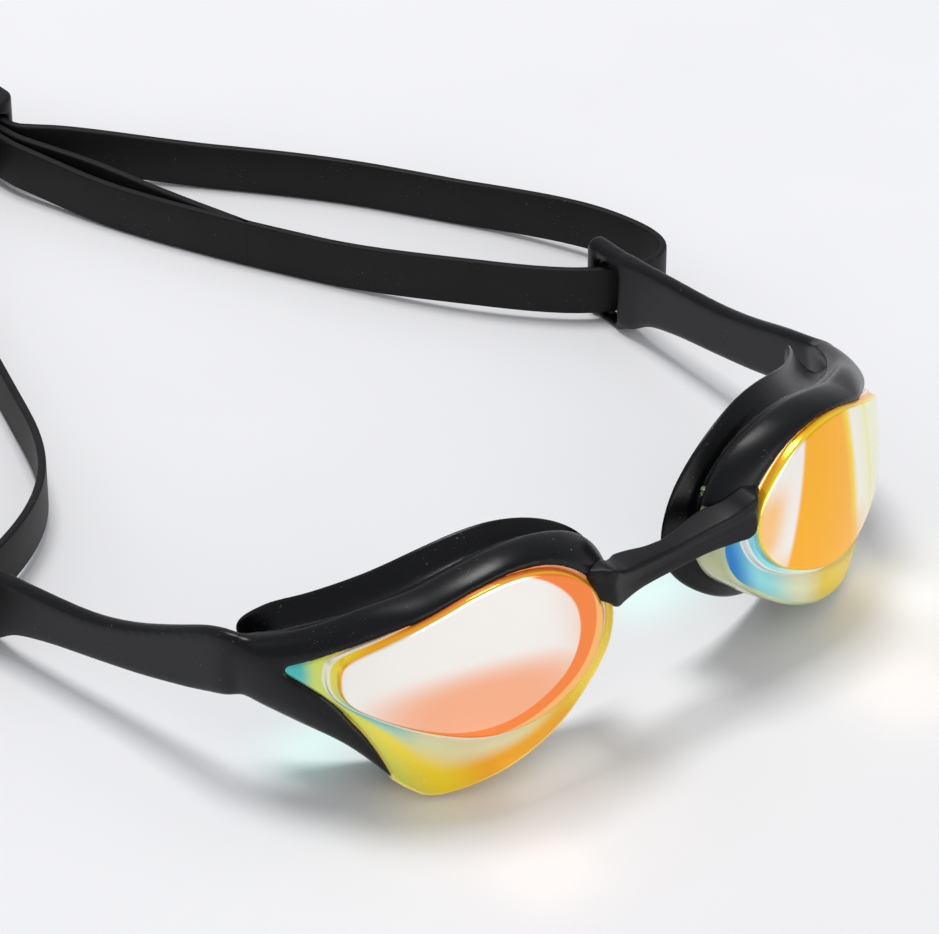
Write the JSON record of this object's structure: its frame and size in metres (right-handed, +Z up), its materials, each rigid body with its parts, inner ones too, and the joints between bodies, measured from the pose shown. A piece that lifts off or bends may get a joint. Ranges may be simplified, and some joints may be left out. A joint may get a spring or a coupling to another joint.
{
  "type": "swim goggles",
  "caption": "Low-profile racing swim goggles with mirrored lenses, soft gaskets, a clip-on nose bridge, side arms and an adjustable head strap, lying open on a table.",
  "frame": {"origin": "centre of the goggles' footprint, on the surface that they lie on", "axes": "+Z up, +Y from the lenses to the back of the head strap, +X to the wearer's left"},
  "size_m": [0.1528, 0.2037, 0.0377],
  "materials": {
    "mirror_lens": "gloss",
    "soft_frame": "satin",
    "seal": "satin",
    "strap": "matte",
    "bridge": "satin",
    "clip": "satin"
  },
  "bodies": {
    "bridge": {"nose_bridge": "bridge"},
    "eyepiece_left": {"lens_left": "mirror_lens", "brow_frame_left": "soft_frame", "gasket_left": "seal"},
    "eyepiece_right": {"lens_right": "mirror_lens", "brow_frame_right": "soft_frame", "gasket_right": "seal"},
    "arm_left": {"side_arm_left": "soft_frame"},
    "arm_right": {"side_arm_right": "soft_frame"},
    "strap": {"head_strap_left": "strap", "head_strap_right": "strap"},
    "clip": {"rear_clip": "clip"}
  },
  "joints": [
    {"name": "eyepiece_left_flex", "type": "hinge", "parent": "bridge", "child": "eyepiece_left", "pos_m": [-0.00419, -0.0963, 0.027], "axis": [0, 0, 1], "range_deg": [-4, 4], "stiffness_Nm_per_rad": 0.02},
    {"name": "eyepiece_right_flex", "type": "hinge", "parent": "bridge", "child": "eyepiece_right", "pos_m": [0.01021, -0.0963, 0.027], "axis": [0, 0, 1], "range_deg": [-4.08, 4.08], "stiffness_Nm_per_rad": 0.02},
    {"name": "arm_left_flex", "type": "hinge", "parent": "eyepiece_left", "child": "arm_left", "pos_m": [-0.05379, -0.0712, 0.018], "axis": [0, 0, 1], "range_deg": [-6.05, 6.05], "stiffness_Nm_per_rad": 0.02},
    {"name": "arm_right_flex", "type": "hinge", "parent": "eyepiece_right", "child": "arm_right", "pos_m": [0.05981, -0.0712, 0.018], "axis": [0, 0, 1], "range_deg": [-6.03, 6.03], "stiffness_Nm_per_rad": 0.02},
    {"name": "strap_swivel", "type": "hinge", "parent": "arm_left", "child": "strap", "pos_m": [-0.06229, -0.01929, 0.0057], "axis": [0, 0, 1], "range_deg": [-1.9, 1.9], "stiffness_Nm_per_rad": 0.02},
    {"name": "rear_clip_slide", "type": "slide", "parent": "strap", "child": "clip", "axis": [0, 1, 0], "range_m": [0, 0.006]}
  ],
  "couplings": [
    {"joint": "eyepiece_right_flex", "follows": "eyepiece_left_flex", "ratio": -1},
    {"joint": "arm_left_flex", "follows": "eyepiece_left_flex", "ratio": -1.4835},
    {"joint": "arm_right_flex", "follows": "eyepiece_left_flex", "ratio": 1.4783},
    {"joint": "strap_swivel", "follows": "eyepiece_left_flex", "ratio": 0.4645}
  ]
}
